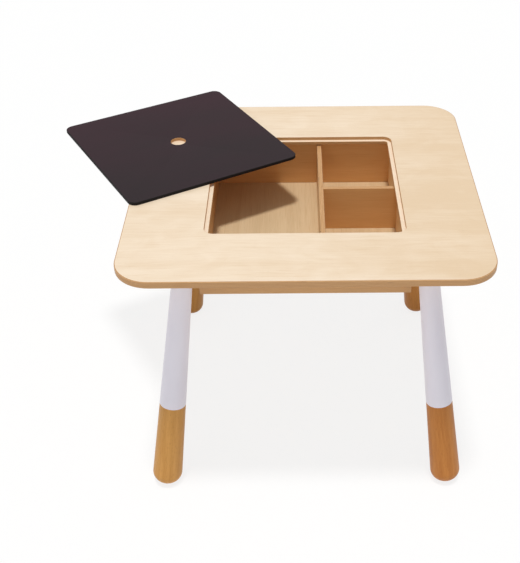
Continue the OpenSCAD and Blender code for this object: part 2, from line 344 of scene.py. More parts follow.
def wood_face(name, pale, deep, streak, sway, shine, drift=0.0, figure=0.0):
    """Veneer or planed wood. streak counts broad bands to the metre, drift deepens one end
    and figure adds the short curls of a rotary cut."""
    material, tree, shader = new_material(name)
    place = wavy(tree, grain_vector(tree), sway)
    bands = noise(tree, place, (streak / BAND_STRETCH, streak, streak), detail=4.0, distortion=0.3)
    threads = remap(tree, noise(tree, place, THREADS), 0.30, 0.72)
    layers = [
        remap(tree, bands, 0.30, 0.70, 0.0, BAND_SHARE),
        reckon(tree, "MULTIPLY", threads, THREAD_SHARE),
        remap(tree, noise(tree, place, CLOUDS), 0.32, 0.68, 0.0, CLOUD_SHARE),
    ]
    if drift:
        along = put(tree, "ShaderNodeSeparateXYZ", {"Vector": place}).outputs["X"]
        layers.append(remap(tree, along, FADE_FROM, FADE_TO, -drift / 4, drift))
    if figure:
        curls = noise(tree, place, CURLS, detail=3.0, distortion=1.2)
        layers.append(remap(tree, curls, 0.40, 0.62, -figure / 2, figure / 2))
    strokes = noise(tree, place, STROKES, detail=1.0)
    layers.append(remap(tree, strokes, 0.62, 0.74, 0.0, STROKE_SHARE))
    pits = remap(tree, noise(tree, place, PORES, detail=1.0), 0.66, 0.76, 0.0, PORE_SHARE)
    base = blend(tree, pits, blend(tree, add_up(tree, *layers), pale, deep), PORE_TONE)
    height = reckon(tree, "SUBTRACT", reckon(tree, "MULTIPLY", threads, THREAD_RELIEF), pits)
    dress(tree, shader, base, threads, (shine, shine + 0.12), height, depth=0.00006)
    return material


print("Threads repeat", THREADS[1], "times to the metre across the grain")

# %% [markdown]
# ## The veneers
#
# The top is a pale maple that deepens towards its right end, and its rebate shows the
# fresh wood under the lacquer. The box is birch, and its floor has a straighter grain.
# A darker copy of the birch paints shade on the box's front and left boards, and a paler
# copy paints light on its right board and its long divider.
# One function with a few settings makes them all, so they look like one family.

# %% The veneers
MAPLE = wood_face(
    "maple_veneer", colour(245, 226, 201), colour(229, 203, 169),
    streak=42, sway=0.016, shine=0.40, drift=0.45, figure=0.2
)
BIRCH = wood_face(
    "birch_veneer", colour(229, 180, 121), colour(211, 155, 96), streak=55, sway=0.006, shine=0.45
)
BIRCH_FLOOR = wood_face(
    "birch_floor", colour(222, 197, 158), colour(200, 169, 126), streak=70, sway=0.002, shine=0.45
)
# A paler copy of the birch, with light painted in for the right board and the long divider.
BIRCH_PAINTED_LIGHT = wood_face(
    "birch_painted_light", colour(238, 202, 152), colour(222, 180, 128), streak=55, sway=0.006, shine=0.45
)
# A darker copy of the birch, with shade painted in for the front and left boards.
BIRCH_PAINTED_SHADE = wood_face(
    "birch_painted_shade", colour(212, 167, 114), colour(196, 146, 92), streak=55, sway=0.006, shine=0.45
)
ROUTED_PLY = wood_face(
    "routed_ply", colour(249, 231, 208), colour(240, 216, 186), streak=60, sway=0.002, shine=0.5
)
print("Veneers:", MAPLE.name, BIRCH.name, BIRCH_FLOOR.name, BIRCH_PAINTED_LIGHT.name, BIRCH_PAINTED_SHADE.name)

# %% [markdown]
# ## Plywood edges
#
# A rounded plywood edge cuts through the plies. Those with the grain along the edge stay
# pale, the crossed ones between them show darker end grain, and a thin line of glue
# parts them. The layers follow the through-thickness part of the grain attribute, so
# one shader serves the top, the lid's hole and the walls of the box.

# %% Plywood edges
PLY = 0.0013
GLUE_LINE = 0.05
GLUE_SHARE = 0.5
CROSSED_SHARE = 0.55
KNOT_SHARE = 0.8
KNOT_TONE = colour(110, 72, 40)


def ply_edge(name, pale, dark, glue, shine):
    """The cut edge of plywood, in layers through the thickness."""
    material, tree, shader = new_material(name)
    place = grain_vector(tree)
    through = put(tree, "ShaderNodeSeparateXYZ", {"Vector": place}).outputs["Z"]
    layer = reckon(tree, "DIVIDE", through, PLY)
    pair = reckon(tree, "FRACT", reckon(tree, "DIVIDE", layer, 2.0))
    crossed = reckon(tree, "GREATER_THAN", pair, 0.5)
    long_grain = noise(tree, place, (30.0, 30.0, 2200.0))
    end_grain = noise(tree, place, (1500.0, 1500.0, 1500.0))
    long_tone = blend(tree, remap(tree, long_grain, 0.3, 0.7), pale, dark)
    end_tone = blend(tree, remap(tree, end_grain, 0.3, 0.7), dark, glue)
    base = blend(tree, reckon(tree, "MULTIPLY", crossed, CROSSED_SHARE), long_tone, end_tone)
    from_middle = reckon(tree, "SUBTRACT", reckon(tree, "FRACT", layer), 0.5)
    line = remap(tree, reckon(tree, "ABSOLUTE", from_middle), 0.5 - GLUE_LINE, 0.5, 0.0, GLUE_SHARE)
    base = blend(tree, line, base, glue)
    knots = noise(tree, place, (22.0, 22.0, 420.0), detail=1.0)
    base = blend(tree, remap(tree, knots, 0.78, 0.82, 0.0, KNOT_SHARE), base, KNOT_TONE)
    height = reckon(tree, "SUBTRACT", reckon(tree, "MULTIPLY", end_grain, crossed), line)
    dress(tree, shader, base, end_grain, (shine, shine + 0.15), height, depth=0.00004)
    return material


PLY_EDGE = ply_edge(
    "plywood_edge", colour(216, 172, 122), colour(198, 148, 94), colour(140, 92, 50), shine=0.45
)
print("Plies of", PLY * 1000, "mm")

# %% [markdown]
# ## Chalkboard paint
#
# Chalkboard paint is a dead matt black with a faint tooth that holds the chalk, and old
# wiping leaves it a little greyer in soft patches. A low base colour with a rough
# shader gives the first. Two noises, one broad and one very fine, give the others.
# A painted sheen also greys the lid towards one end.

# %% Chalkboard paint
# The stretch across the lid's grain, in metres, over which a painted sheen turns it greyer.
SHEEN_FROM = 0.27
SHEEN_TO = 0.53
SHEEN_SHARE = 0.6
PATCH_SHARE = 0.4


def chalkboard_paint(name, clean, dust_and_sheen):
    """Matt black paint with a fine tooth, greyer in patches from wiping, and greyer towards one end
    with a painted sheen.
    """
    material, tree, shader = new_material(name)
    place = grain_vector(tree)
    across = put(tree, "ShaderNodeSeparateXYZ", {"Vector": place}).outputs["Y"]
    patches = noise(tree, place, (5.0, 14.0, 14.0), detail=3.0)
    # The greying towards one end is a painted sheen; the patches are marks of wiping.
    sheen_and_wiping = add_up(
        tree,
        remap(tree, across, SHEEN_FROM, SHEEN_TO, 0.0, SHEEN_SHARE),
        remap(tree, patches, 0.3, 0.75, 0.0, PATCH_SHARE),
    )
    tooth = noise(tree, place, (2600.0, 2600.0, 2600.0))
    base = blend(tree, sheen_and_wiping, clean, dust_and_sheen)
    dress(tree, shader, base, sheen_and_wiping, (0.62, 0.74), tooth, depth=0.00003, specular=0.2)
    return material


CHALKBOARD = chalkboard_paint("chalkboard_paint", colour(26, 15, 19), colour(50, 30, 37))
# The lid's edges take a darker copy of the same paint, with shade painted in.
CHALKBOARD_EDGE_SHADE = chalkboard_paint("chalkboard_edge_shade", colour(12, 7, 9), colour(16, 10, 12))
print("Finishes:", CHALKBOARD.name, CHALKBOARD_EDGE_SHADE.name)

# %% [markdown]
# ## The legs' two finishes
#
# Each leg is painted satin white down to a masked line, and clear lacquer shows the
# beech below it. Paint is never dead flat: it keeps a slight orange peel. The beech is
# wood like the rest, with short dark flecks. Sticks differ in tone, so an attribute
# named tone blends between a yellow and a red beech, leg by leg.

# %% The legs' two finishes
TONE = "tone"
BEECH_SWAY = 0.003
STREAK_SHARE = 0.62
FLECK_SHARE = 0.35
FLECK_TONE = colour(140, 84, 42)


def leg_paint():
    """White satin paint with a faint orange peel."""
    material, tree, shader = new_material("white_paint")
    place = grain_vector(tree)
    peel = noise(tree, place, (420.0, 520.0, 520.0))
    patches = remap(tree, noise(tree, place, (7.0, 30.0, 30.0)), 0.3, 0.7)
    base = blend(tree, patches, colour(243, 240, 251), colour(238, 234, 246))
    dress(tree, shader, base, peel, (0.36, 0.48), peel, depth=0.00005)
    return material


def bare_beech(name, shine):
    """Lacquered beech: long streaks, short flecks and a tone of its own for each stick."""
    material, tree, shader = new_material(name)
    place = wavy(tree, grain_vector(tree), BEECH_SWAY)
    tone = put(tree, "ShaderNodeAttribute", {}, attribute_name=TONE).outputs["Fac"]
    streaks = noise(tree, place, (7.0, 130.0, 130.0), detail=3.0)
    threads = remap(tree, noise(tree, place, (40.0, 1100.0, 1100.0)), 0.3, 0.7)
    flecks = remap(tree, noise(tree, place, (190.0, 900.0, 900.0), detail=1.0), 0.64, 0.74)
    pale = blend(tree, tone, colour(218, 164, 90), colour(203, 132, 58))
    deep = blend(tree, tone, colour(197, 140, 66), colour(177, 103, 38))
    layers = add_up(
        tree,
        remap(tree, streaks, 0.28, 0.72, 0.0, STREAK_SHARE),
        reckon(tree, "MULTIPLY", threads, 1 - STREAK_SHARE),
    )
    marked = reckon(tree, "MULTIPLY", flecks, FLECK_SHARE)
    base = blend(tree, marked, blend(tree, layers, pale, deep), FLECK_TONE)
    height = reckon(tree, "SUBTRACT", reckon(tree, "MULTIPLY", threads, THREAD_RELIEF), flecks)
    dress(tree, shader, base, threads, (shine, shine + 0.12), height, depth=0.00005, specular=0.3)
    return material


LEG_PAINT = leg_paint()
LEG_BEECH = bare_beech("lacquered_beech", 0.38)
print("Leg finishes:", LEG_PAINT.name, LEG_BEECH.name)

# %% [markdown]
# ## Steel, brass and dowels
#
# The hardware hides under the top, but it shows in a view from below. Zinc plating is
# slightly blotchy, and turned inserts carry fine marks. These small parts have no grain
# attribute, so their shaders read object coordinates, which every mesh has.

# %% Steel, brass and dowels
def metal(name, tint, stain, rough):
    """Plated or turned metal with a blotchy tone and fine marks."""
    material, tree, shader = new_material(name)
    place = tree.nodes.new("ShaderNodeTexCoord").outputs["Object"]
    blotches = noise(tree, place, (180.0, 180.0, 180.0), detail=3.0)
    marks = noise(tree, place, (900.0, 900.0, 5200.0))
    base = blend(tree, remap(tree, blotches, 0.3, 0.7), tint, stain)
    fill(tree, shader.inputs["Metallic"], 1.0)
    dress(tree, shader, base, marks, (rough, rough + 0.16), marks, depth=0.00002)
    return material


def dowel_wood():
    """Bare beech for the dowels, with fine streaks in object coordinates."""
    material, tree, shader = new_material("dowel_beech")
    place = tree.nodes.new("ShaderNodeTexCoord").outputs["Object"]
    fibres = remap(tree, noise(tree, place, (900.0, 60.0, 900.0)), 0.3, 0.7)
    base = blend(tree, fibres, colour(214, 168, 116), colour(192, 142, 90))
    dress(tree, shader, base, fibres, (0.6, 0.75), fibres, depth=0.00005)
    return material


STEEL = metal("zinc_plated_steel", colour(198, 200, 204), colour(170, 172, 178), 0.26)
BRASS = metal("turned_brass", colour(214, 180, 108), colour(188, 150, 82), 0.28)
DOWEL = dowel_wood()
print("Hardware finishes:", STEEL.name, BRASS.name, DOWEL.name)

# %% [markdown]
# ## Helpers for pieces
#
# Every piece is finished the same way: its flat faces keep their flat shading beside
# the rounded edges, its grain is laid in, and it takes the place of its CAD node.
# Weighted normals do the first without extra rings of faces.

# %% Helpers for pieces
SHARP = math.radians(42)
LARGE_FACES_LEAD = 100
X = Vector((1, 0, 0))
Y = Vector((0, 1, 0))
Z = Vector((0, 0, 1))


def new_piece(name, mesh, *materials):
    """An object at the origin with its mesh and its finishes."""
    piece = bpy.data.objects.new(name, mesh)
    bpy.context.scene.collection.objects.link(piece)
    for material in materials:
        mesh.materials.append(material)
    return piece


def apply_modifiers(piece):
    """Replaces a piece's mesh by what its modifiers make of it."""
    graph = bpy.context.evaluated_depsgraph_get()
    made = bpy.data.meshes.new_from_object(
        piece.evaluated_get(graph), preserve_all_data_layers=True, depsgraph=graph
    )
    piece.modifiers.clear()
    piece.data = made


def shade(piece):
    """Smooth shading, with crisp sharp edges."""
    piece.data.shade_smooth()
    piece.data.set_sharp_from_angle(angle=SHARP)


def weigh_normals(piece):
    """Shades rounded edges smoothly and flat faces flat, and leaves a plain mesh."""
    shade(piece)
    modifier = piece.modifiers.new("weigh_normals", "WEIGHTED_NORMAL")
    modifier.keep_sharp = True
    modifier.weight = LARGE_FACES_LEAD
    apply_modifiers(piece)


def lay_grain(mesh, along, across, through, origin, shift):
    """Stores each vertex's place in its board. shift moves the pattern from board to board."""
    axes = np.array([along, across, through], float)
    places = np.zeros(len(mesh.vertices) * 3, np.float32)
    mesh.vertices.foreach_get("co", places)
    local = (places.reshape(-1, 3) - np.array(origin)) @ axes.T + np.array(shift)
    attribute = mesh.attributes.new(GRAIN, "FLOAT_VECTOR", "POINT")
    attribute.data.foreach_set("vector", local.astype(np.float32).ravel())


def seat(piece, body, node):
    """The piece rides on its body and stands in for its CAD node, which it hides."""
    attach(piece, body)
    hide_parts(node)


print("Edges sharper than", round(math.degrees(SHARP)), "degrees stay crisp")

# %% [markdown]
# ## Rings and lofts
#
# The top and the lid are boards with round corners, rounded edges and an opening.
# Cutting that with booleans leaves ragged faces. They are lofted instead from rings,
# each a rounded square with the same count of points, that walk once round the board's
# section, so every edge gets its true radius and clean quads.

# %% Rings and lofts
CORNER_STEPS = 14
ARC_STEPS = 6
QUARTER = math.radians(90)


def ring(half, corner, z):
    """Points of a rounded square, anticlockwise from the right side's upper end."""
    points = []
    for quarter in range(4):
        turn = QUARTER * quarter
        for step in range(CORNER_STEPS + 1):
            angle = QUARTER * step / CORNER_STEPS
            x = half - corner + corner * math.cos(angle)
            y = half - corner + corner * math.sin(angle)
            points.append((
                x * math.cos(turn) - y * math.sin(turn),
                x * math.sin(turn) + y * math.cos(turn),
                z,
            ))
    return points


def loft(name, rings, finishes):
    """A closed mesh through the rings and back to the first. Each band has a finish number."""
    count = len(rings[0])
    points = [point for one in rings for point in one]
    faces = []
    numbers = []
    for band, number in enumerate(finishes):
        start = band * count
        following = (band + 1) % len(rings) * count
        for i in range(count):
            j = (i + 1) % count
            faces.append((start + i, start + j, following + j, following + i))
            numbers.append(number)
    mesh = bpy.data.meshes.new(name)
    mesh.from_pydata(points, [], faces)
    mesh.polygons.foreach_set("material_index", numbers)
    work = bmesh.new()
    work.from_mesh(mesh)
    bmesh.ops.recalc_face_normals(work, faces=work.faces)
    work.to_mesh(mesh)
    work.free()
    return mesh


def rounded(half, corner, z_flat, z_side, radius, outward=1):
    """Rings of a rounded edge, from the flat face to the side. outward is -1 round a hole."""
    rise = math.copysign(1, z_side - z_flat)
    rings = []
    for step in range(ARC_STEPS + 1):
        angle = QUARTER * step / ARC_STEPS
        inset = radius * (1 - math.sin(angle)) * outward
        rings.append((half - inset, corner - inset, z_flat + rise * radius * (1 - math.cos(angle))))
    return rings


print("Each ring has", 4 * (CORNER_STEPS + 1), "points")

# %% [markdown]
# ## The table top
#
# The top is one square board of plywood. A square opening lets a hand into the box, and
# a rebate round it seats the lid. The loft walks over the outer edge, down the seat,
# across its ledge and back underneath. Maple covers the two flat faces, the plies show
# at the edges, and the cutter left fresh wood on the ledge.

# %% The table top
FACE = 0
EDGE = 1
ROUTED = 2
TOP_CORNER = 0.060
TOP_EDGE = 0.0015
SEAT_HALF = 0.166
SEAT_CORNER = 0.016
SEAT_DEPTH = 0.006
LEDGE = 0.007
OPENING_CORNER = 0.006
EASE = 0.0005


def tabletop():
    """The table top as a loft: over the outer edge, down the seat, and back underneath."""
    low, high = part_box("tabletop")
    half = high.x
    opening = SEAT_HALF - LEDGE
    ledge_z = high.z - SEAT_DEPTH
    outer_low = rounded(half, TOP_CORNER, low.z, high.z, TOP_EDGE)
    outer_top = rounded(half, TOP_CORNER, high.z, low.z, TOP_EDGE)[::-1]
    seat_top = rounded(SEAT_HALF, SEAT_CORNER, high.z, low.z, EASE, -1)
    ledge_foot = [(SEAT_HALF, SEAT_CORNER, ledge_z)]
    ledge_lip = rounded(opening, OPENING_CORNER, ledge_z, low.z, EASE, -1)
    opening_low = rounded(opening, OPENING_CORNER, low.z, high.z, EASE, -1)[::-1]
    path = outer_low + outer_top + seat_top + ledge_foot + ledge_lip + opening_low
    # A band runs from its ring to the next, so the ring before a flat face carries its number.
    finishes = [EDGE] * len(path)
    finishes[len(outer_low) + len(outer_top) - 1] = FACE
    finishes[path.index(ledge_foot[0])] = ROUTED
    finishes[len(path) - 1] = FACE
    mesh = loft("tabletop_board", [ring(*one) for one in path], finishes)
    lay_grain(mesh, X, Y, Z, (0, 0, low.z), (0, 0, 0))
    piece = new_piece("tabletop_board", mesh, MAPLE, PLY_EDGE, ROUTED_PLY)
    weigh_normals(piece)
    seat(piece, "table", "tabletop")
    return piece


TABLETOP = tabletop()
print("Table top:", len(TABLETOP.data.polygons), "faces")

# %% [markdown]
# ## The lid
#
# The lid is a thin square of plywood, painted black on its face and edges and bare
# underneath, with a finger hole whose wall is bare too. A circle is a rounded square
# whose corners take up its whole side, so the same loft makes the hole. The lid is
# turned where it lies, and its grain has to turn with it, so the grain is laid before
# the mesh is moved into place.

# %% The lid
LID_TURN = math.radians(30.4)
LID_HALF = 0.165
LID_CORNER = 0.015
LID_EDGE = 0.001
LID_SHIFT = (1.7, 0.4, 0)
FINGER_R = 0.014
FINGER_EASE = 0.0006
RIM = 0
UNDERSIDE = 1
HOLE = 2
BOARD_FACE = 3


def lid():
    """The lid as a loft, laid on the table top where it rests."""
    low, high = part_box("lid")
    thick = high.z - low.z
    outer_low = rounded(LID_HALF, LID_CORNER, 0, thick, LID_EDGE)
    outer_top = rounded(LID_HALF, LID_CORNER, thick, 0, LID_EDGE)[::-1]
    hole_top = rounded(FINGER_R, FINGER_R, thick, 0, FINGER_EASE, -1)
    hole_low = rounded(FINGER_R, FINGER_R, 0, thick, FINGER_EASE, -1)[::-1]
    path = outer_low + outer_top + hole_top + hole_low
    hole_start = len(outer_low) + len(outer_top)
    finishes = [RIM] * len(path)
    finishes[hole_start - 1] = BOARD_FACE
    # The paint stops halfway round the hole's eased rim.
    for band in range(hole_start + ARC_STEPS // 2, len(path) - 1):
        finishes[band] = HOLE
    finishes[len(path) - 1] = UNDERSIDE
    mesh = loft("lid_board", [ring(*one) for one in path], finishes)
    lay_grain(mesh, X, Y, Z, (0, 0, 0), LID_SHIFT)
    centre = (low + high) / 2
    at_rest = Matrix.Translation((centre.x, centre.y, low.z))
    mesh.transform(at_rest @ Matrix.Rotation(LID_TURN, 4, "Z"))
    piece = new_piece("lid_board", mesh, CHALKBOARD_EDGE_SHADE, BIRCH, PLY_EDGE, CHALKBOARD)
    weigh_normals(piece)
    seat(piece, "lid", "lid")
    return piece


LID = lid()
print("Lid:", len(LID.data.polygons), "faces")

# %% [markdown]
# ## Sawn boards
#
# The box, its dividers, the cleats and the leg blocks are sawn boards whose corners were
# broken with sandpaper. Their joints (grooves, housings and screw holes) are already
# right in CAD, so each is a merged copy of its CAD solid, and only its long outer edges
# are rounded a little. Modelling them again would only risk a joint that doesn't fit.

# %% Eased boards
LONG_EDGE = 0.02
MERGE = 0.000002
FLAT_ANGLE = math.radians(0.4)
RIGHT_ANGLE_MIN = math.radians(70)
# A face belongs to the board's edge when its normal has less than this through the board.
EDGE_FACE_PART = 0.7
# The floor has its own straighter grain. The front and left boards take birch with painted shade, and
# the right board and long divider take birch with painted light.
SPECIAL_FACES = {
    "box_floor": BIRCH_FLOOR,
    "box_front": BIRCH_PAINTED_SHADE,
    "box_left": BIRCH_PAINTED_SHADE,
    "box_right": BIRCH_PAINTED_LIGHT,
    "long_divider": BIRCH_PAINTED_LIGHT,
}


def long_corners(work):
    """Outside edges that are long enough for sandpaper to reach along them."""
    return [
        edge for edge in work.edges
        if edge.is_manifold
        and edge.is_convex
        and edge.calc_length() > LONG_EDGE
        and edge.calc_face_angle() > RIGHT_ANGLE_MIN
    ]


def eased_board(node):
    """A merged copy of a CAD board with its long edges eased."""
    work = bmesh.new()
    work.from_mesh(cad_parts[node].data)
    bmesh.ops.remove_doubles(work, verts=work.verts, dist=MERGE)
    bmesh.ops.dissolve_limit(work, angle_limit=FLAT_ANGLE, verts=work.verts, edges=work.edges)
    bmesh.ops.bevel(
        work, geom=long_corners(work), offset=EASE, segments=2, profile=0.5,
        affect="EDGES", clamp_overlap=False
    )
    mesh = bpy.data.meshes.new(node + "_eased")
    work.to_mesh(mesh)
    work.free()
    return mesh


def mark_edges(mesh, through):
    """Gives the plywood edge to the faces round the board's thickness."""
    for face in mesh.polygons:
        if abs(face.normal.dot(through)) < EDGE_FACE_PART:
            face.material_index = EDGE


def board(node, along, across, through, shift):
    """One birch board of the box or its fixings."""
    mesh = eased_board(node)
    low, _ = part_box(node)
    lay_grain(mesh, along, across, through, low, shift)
    mark_edges(mesh, through)
    piece = new_piece(node + "_board", mesh, SPECIAL_FACES.get(node, BIRCH), PLY_EDGE)
    weigh_normals(piece)
    seat(piece, "table", node)
    return piece


print("Boards with a face of their own:", ", ".join(SPECIAL_FACES))

# %% [markdown]
# ## The box, its dividers, cleats and blocks
#
# Each board's grain runs the way a joiner would lay it: along its length, front to back
# on the box floor, and towards the corner on the leg blocks. A table says for each board
# which way its grain goes along, across and through it. Every board starts at another
# place in the pattern, so no two look alike.

# %% The boards
BOARD_SHIFT = np.array((0.83, 0.37, 0))
UP_DIAGONAL = Vector((1, 1, 0)).normalized()
DOWN_DIAGONAL = Vector((1, -1, 0)).normalized()
BOARDS = {
    "box_front": (X, Z, Y),
    "box_back": (X, Z, Y),
    "box_left": (Y, Z, X),
    "box_right": (Y, Z, X),
    "box_floor": (Y, X, Z),
    "long_divider": (Y, Z, X),
    "cross_divider": (X, Z, Y),
    "cleat_front": (X, Y, Z),
    "cleat_back": (X, Y, Z),
    "cleat_left": (Y, X, Z),
    "cleat_right": (Y, X, Z),
    "leg_block_back_right": (UP_DIAGONAL, DOWN_DIAGONAL, Z),
    "leg_block_front_left": (UP_DIAGONAL, DOWN_DIAGONAL, Z),
    "leg_block_back_left": (DOWN_DIAGONAL, UP_DIAGONAL, Z),
    "leg_block_front_right": (DOWN_DIAGONAL, UP_DIAGONAL, Z),
}

for number, (node, ways) in enumerate(BOARDS.items()):
    made = board(node, *ways, number * BOARD_SHIFT)
    print(made.name, len(made.data.polygons), "faces")

# %% [markdown]
# ## The legs' section
#
# A leg is a tapered stick with a rounded foot and a hole for its bolt. Its half section
# says all of that in a few points. At the masked line the paint stands a hair proud of
# the wood, so the line is a real step. The leg stands splayed under its block, so its
# length follows from the height of the top, the block, its tilt and the small flat that
# its foot stands on.

# %% The legs' section
UNDER_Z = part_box("tabletop")[0].z
BOX_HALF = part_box("box_front")[1].x
LEG_OUT = 0.017
LEG_SPREAD = 0.0615
LEG_TOP_R = 0.0165
LEG_FOOT_R = 0.027
FOOT_ROUND = 0.021
FOOT_FLAT = 0.0005
BARE_LEN = 0.173
BLOCK_T = 0.030
BORE_R = 0.0041
BORE_DEPTH = 0.0381
COAT = 0.00018
COAT_EASE = 0.0004
ROUND_STEPS = 18

LEG_TILT = math.atan(LEG_SPREAD * math.sqrt(2) / UNDER_Z)
FOOT_LIFT = (
    FOOT_ROUND * (1 - math.cos(LEG_TILT)) + (LEG_FOOT_R - FOOT_ROUND) * math.sin(LEG_TILT) - FOOT_FLAT
)
LEG_LEN = (UNDER_Z - FOOT_LIFT) / math.cos(LEG_TILT) - BLOCK_T
TAPER = (LEG_FOOT_R - LEG_TOP_R) / LEG_LEN
PAINT_LEN = LEG_LEN - BARE_LEN


def leg_radius(down):
    """Radius of a leg at a distance below its upper end."""
    return LEG_TOP_R + TAPER * down


def leg_section():
    """Half section of a leg, from the bottom of its bolt hole out and down to its foot."""
    slant = math.sqrt(1 + TAPER * TAPER)
    round_down = LEG_LEN - FOOT_ROUND
    round_x = leg_radius(round_down) - FOOT_ROUND * slant
    points = [
        (0, BORE_DEPTH),
        (BORE_R, BORE_DEPTH),
        (BORE_R, 0),
        (leg_radius(0) - EASE, 0),
        (leg_radius(EASE), EASE),
        (leg_radius(PAINT_LEN - COAT_EASE) + COAT, PAINT_LEN - COAT_EASE),
        (leg_radius(PAINT_LEN), PAINT_LEN),
    ]
    start = math.atan(TAPER)
    for step in range(ROUND_STEPS + 1):
        angle = -start + (QUARTER + start) * step / ROUND_STEPS
        points.append((
            round_x + FOOT_ROUND * math.cos(angle),
            round_down + FOOT_ROUND * math.sin(angle),
        ))
    points.append((0, LEG_LEN))
    return points


print("Leg", round(LEG_LEN, 4), "m long, tilted", round(math.degrees(LEG_TILT), 2), "degrees")

# %% [markdown]
# ## A lathe in Geometry Nodes
#
# The real leg is turned on a lathe: a section spun round its axis. The screw modifier
# can do that, but it doesn't know where the paint ends. A small Geometry Nodes lathe
# does. It takes the section as a chain of edges, sweeps it round a circle and then
# paints it: what lies above the masked line is white, and what lies below is bare.

# %% A lathe in Geometry Nodes
LATHE_STEPS = 96
LATHE_REACH = 0.1


def new_tree(name, numbers, materials):
    """A Geometry Nodes tree with a mesh in and out, its input numbers and materials."""
    tree = bpy.data.node_groups.new(name, "GeometryNodeTree")
    tree.interface.new_socket("Geometry", in_out="INPUT", socket_type="NodeSocketGeometry")
    tree.interface.new_socket("Geometry", in_out="OUTPUT", socket_type="NodeSocketGeometry")
    kinds = dict(numbers)
    kinds.update(dict.fromkeys(materials, "NodeSocketMaterial"))
    sockets = {}
    for label, kind in kinds.items():
        made = tree.interface.new_socket(label, in_out="INPUT", socket_type=kind)
        sockets[label] = made.identifier
    return tree, sockets, tree.nodes.new("NodeGroupInput").outputs


def finished(tree, geometry, material, selection=True):
    """Gives the selected faces of a geometry a material."""
    return put(tree, "GeometryNodeSetMaterial", {
        "Geometry": geometry,
        "Selection": selection,
        "Material": material,
    }).outputs[0]


def lathe_tree():
    """Sweeps a half section, with x outwards and y downwards, round the z axis."""
    numbers = {"Steps": "NodeSocketInt", "Paint Line": "NodeSocketFloat"}
    tree, sockets, given = new_tree("lathe", numbers, ("Paint", "Bare"))
    # The sweep measures the section's x outwards from the circle, so it starts at the axis.
    aside = put(tree, "GeometryNodeTransform", {
        "Geometry": given["Geometry"],
        "Translation": (-LATHE_REACH, 0, 0),
    })
    section = put(tree, "GeometryNodeMeshToCurve", {"Mesh": aside.outputs[0]})
    circle = put(tree, "GeometryNodeCurvePrimitiveCircle", {
        "Resolution": given["Steps"],
        "Radius": LATHE_REACH,
    })
    swept = put(tree, "GeometryNodeCurveToMesh", {
        "Curve": circle.outputs["Curve"],
        "Profile Curve": section.outputs[0],
    })
    closed = put(tree, "GeometryNodeMergeByDistance", {
        "Geometry": swept.outputs[0],
        "Distance": MERGE,
    })
    place = tree.nodes.new("GeometryNodeInputPosition").outputs[0]
    above = put(tree, "FunctionNodeCompare", {
        "A": put(tree, "ShaderNodeSeparateXYZ", {"Vector": place}).outputs["Z"],
        "B": given["Paint Line"],
    }, data_type="FLOAT", operation="GREATER_THAN")
    real = put(tree, "GeometryNodeRealizeInstances", {"Geometry": closed.outputs[0]})
    bare = finished(tree, real.outputs[0], given["Bare"])
    painted = finished(tree, bare, given["Paint"], above.outputs["Result"])
    put(tree, "NodeGroupOutput", {"Geometry": painted})
    return tree, sockets


LATHE, LATHE_SOCKETS = lathe_tree()
print("Lathe inputs:", ", ".join(LATHE_SOCKETS))

# %% [markdown]
# ## Turning the legs
#
# Four equal legs stand under the corners, each tilted outwards along its diagonal. Each
# is turned upright with its grain laid in, then tilted, set in place and cut level with
# the floor, as a chair maker trims the feet of a finished frame. A tone of its own for
# each leg keeps them from looking like copies.

# %% Turning the legs
LEG_TURNS = {"back_right": 45, "back_left": 135, "front_left": 225, "front_right": 315}
LEG_TONES = {"back_right": 0.7, "back_left": 0.25, "front_left": 0.1, "front_right": 0.9}
LEG_SHIFT = np.array((1.3, 0.21, 0))


def turned_mesh(section):
    """Runs the lathe over a half section and returns a plain mesh with its axis on z."""
    chain = bpy.data.meshes.new("section")
    points = [(x, down, 0) for x, down in section]
    chain.from_pydata(points, [(i, i + 1) for i in range(len(points) - 1)], [])
    blank = new_piece("lathe_blank", chain)
    modifier = blank.modifiers.new("lathe", "NODES")
    modifier.node_group = LATHE
    modifier[LATHE_SOCKETS["Steps"]] = LATHE_STEPS
    modifier[LATHE_SOCKETS["Paint Line"]] = -PAINT_LEN
    modifier[LATHE_SOCKETS["Paint"]] = LEG_PAINT
    modifier[LATHE_SOCKETS["Bare"]] = LEG_BEECH
    apply_modifiers(blank)
    mesh = blank.data
    bpy.data.objects.remove(blank)
    return mesh


def trim_at_floor(mesh):
    """Cuts the foot level with the floor and closes the cut."""
    work = bmesh.new()
    work.from_mesh(mesh)
    bmesh.ops.recalc_face_normals(work, faces=work.faces)
    cut_off = bmesh.ops.bisect_plane(
        work, geom=work.verts[:] + work.edges[:] + work.faces[:],
        plane_co=(0, 0, 0), plane_no=(0, 0, -1), clear_outer=True
    )
    rim = [part for part in cut_off["geom_cut"] if isinstance(part, bmesh.types.BMEdge)]
    bmesh.ops.contextual_create(work, geom=rim)
    work.to_mesh(mesh)
    work.free()


def leg(place, number):
    """One leg: turned, given its grain and tone, and set at its corner."""
    node = "leg_" + place
    mesh = turned_mesh(leg_section())
    lay_grain(mesh, -Z, X, Y, (0, 0, 0), number * LEG_SHIFT)
    reach = (BOX_HALF + LEG_OUT) * math.sqrt(2)
    mesh.transform(
        Matrix.Rotation(math.radians(LEG_TURNS[place]), 4, "Z")
        @ Matrix.Translation((reach, 0, UNDER_Z))
        @ Matrix.Rotation(-LEG_TILT, 4, "Y")
        @ Matrix.Translation((0, 0, -BLOCK_T))
    )
    trim_at_floor(mesh)
    tone = mesh.attributes.new(TONE, "FLOAT", "POINT")
    tone.data.foreach_set("value", [LEG_TONES[place]] * len(mesh.vertices))
    piece = new_piece(node + "_turned", mesh)
    weigh_normals(piece)
    seat(piece, "table", node)
    return piece


